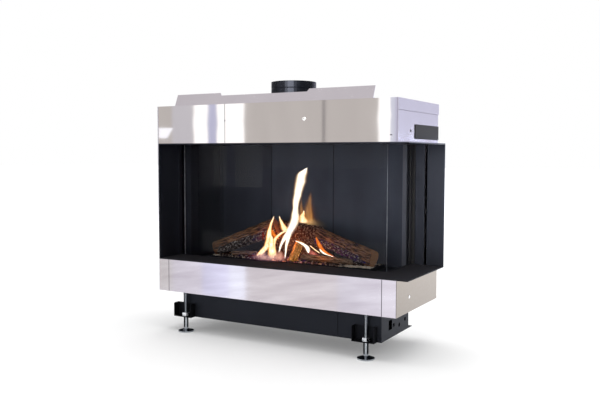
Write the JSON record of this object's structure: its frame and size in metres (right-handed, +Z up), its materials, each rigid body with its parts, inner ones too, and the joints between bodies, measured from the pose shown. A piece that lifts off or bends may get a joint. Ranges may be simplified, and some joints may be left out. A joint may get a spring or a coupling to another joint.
{
  "type": "gas fireplace insert",
  "caption": "Built-in corner gas fire: steel casing on screw feet, glazed front and right side, black frame plates, ceramic logs on a burner tray, and a concentric flue collar on top",
  "frame": {"origin": "middle of the footprint, on the floor under the screw feet", "axes": "+X along the width toward the glazed side, +Y to the wall behind, +Z up; the large pane faces -Y"},
  "size_m": [0.925, 0.357, 0.851],
  "materials": {
    "galvanised_steel": "bare galvanised sheet, softly bright",
    "black_coat": "fine satin black powder coat",
    "ceramic_glass": "clear, faintly brown",
    "gasket_rope": "matt graphite fibre",
    "chamber_coat": "matt heat-proof black",
    "zinc_steel": "bright zinc plate",
    "ember_granules": "rough granules",
    "ceramic_log": "matt, brown bark with charred undersides",
    "cast_aluminium": "as cast",
    "black_plastic": "matt",
    "brass": "bare brass",
    "copper": "bare copper"
  },
  "bodies": {
    "casing": {"left_casing_panel": "galvanised_steel", "back_casing_panel": "galvanised_steel", "upper_front_panel_left": "galvanised_steel", "upper_front_panel_right": "galvanised_steel", "upper_right_panel": "galvanised_steel", "casing_lid": "galvanised_steel", "lid_flange": "galvanised_steel", "data_plate": "black_coat", "rear_right_column": "galvanised_steel", "lower_front_panel": "galvanised_steel", "lower_left_post": "galvanised_steel", "lower_right_corner_panel": "galvanised_steel", "casing_base": "galvanised_steel", "floor_plate": "black_coat", "top_plate": "black_coat", "left_reveal_panel": "black_coat", "left_glass_post": "black_coat", "rear_reveal_panel": "black_coat", "rear_glass_post": "black_coat", "bottom_gasket": "gasket_rope", "top_gasket": "gasket_rope", "chamber_shell": "chamber_coat", "chamber_floor": "chamber_coat", "chamber_lintel": "chamber_coat", "chamber_ceiling": "chamber_coat", "left_liner": "chamber_coat", "rear_liner_left": "chamber_coat", "rear_liner_middle": "chamber_coat", "rear_liner_right": "chamber_coat", "rear_corner_trim": "chamber_coat", "air_box": "galvanised_steel", "outer_flue_collar": "black_coat", "inner_flue_pipe": "zinc_steel", "burner_tray": "chamber_coat", "ember_bed": "ember_granules", "pilot_burner": "zinc_steel", "charred_stump": "ceramic_log", "left_log": "ceramic_log", "right_log": "ceramic_log", "front_log": "ceramic_log", "split_log": "ceramic_log", "kindling_log": "ceramic_log", "base_box": "black_coat", "base_box_cover": "black_coat", "gas_valve": "cast_aluminium", "gas_tap": "brass", "inlet_pipe": "copper", "supply_pipe": "copper", "front_left_foot_bracket": "black_coat", "front_right_foot_bracket": "black_coat", "rear_left_foot_bracket": "black_coat", "rear_right_foot_bracket": "black_coat"},
    "front_pane": {"front_glass": "ceramic_glass"},
    "side_pane": {"side_glass": "ceramic_glass"},
    "knob": {"valve_knob": "black_plastic"},
    "lever": {"tap_lever": "black_plastic"},
    "front_left_leg": {"front_left_foot": "zinc_steel"},
    "front_right_leg": {"front_right_foot": "zinc_steel"},
    "rear_left_leg": {"rear_left_foot": "zinc_steel"},
    "rear_right_leg": {"rear_right_foot": "zinc_steel"}
  },
  "joints": [
    {"name": "front_pane_lift", "type": "slide", "parent": "casing", "child": "front_pane", "axis": [0, 0, 1], "range_m": [0, 0.012]},
    {"name": "side_pane_lift", "type": "slide", "parent": "casing", "child": "side_pane", "axis": [0, 0, 1], "range_m": [0, 0.012]},
    {"name": "valve_knob_turn", "type": "hinge", "parent": "casing", "child": "knob", "pos_m": [0.141, -0.0808, 0.0768], "axis": [0, -1, 0], "range_deg": [0, 90]},
    {"name": "tap_lever_turn", "type": "hinge", "parent": "casing", "child": "lever", "pos_m": [0.2685, -0.0715, 0.1118], "axis": [0, 0, 1], "range_deg": [0, 90]},
    {"name": "front_left_foot_screw", "type": "slide", "parent": "casing", "child": "front_left_leg", "axis": [0, 0, 1], "range_m": [-0.03, 0]},
    {"name": "front_right_foot_screw", "type": "slide", "parent": "casing", "child": "front_right_leg", "axis": [0, 0, 1], "range_m": [-0.03, 0]},
    {"name": "rear_left_foot_screw", "type": "slide", "parent": "casing", "child": "rear_left_leg", "axis": [0, 0, 1], "range_m": [-0.03, 0]},
    {"name": "rear_right_foot_screw", "type": "slide", "parent": "casing", "child": "rear_right_leg", "axis": [0, 0, 1], "range_m": [-0.03, 0]}
  ]
}
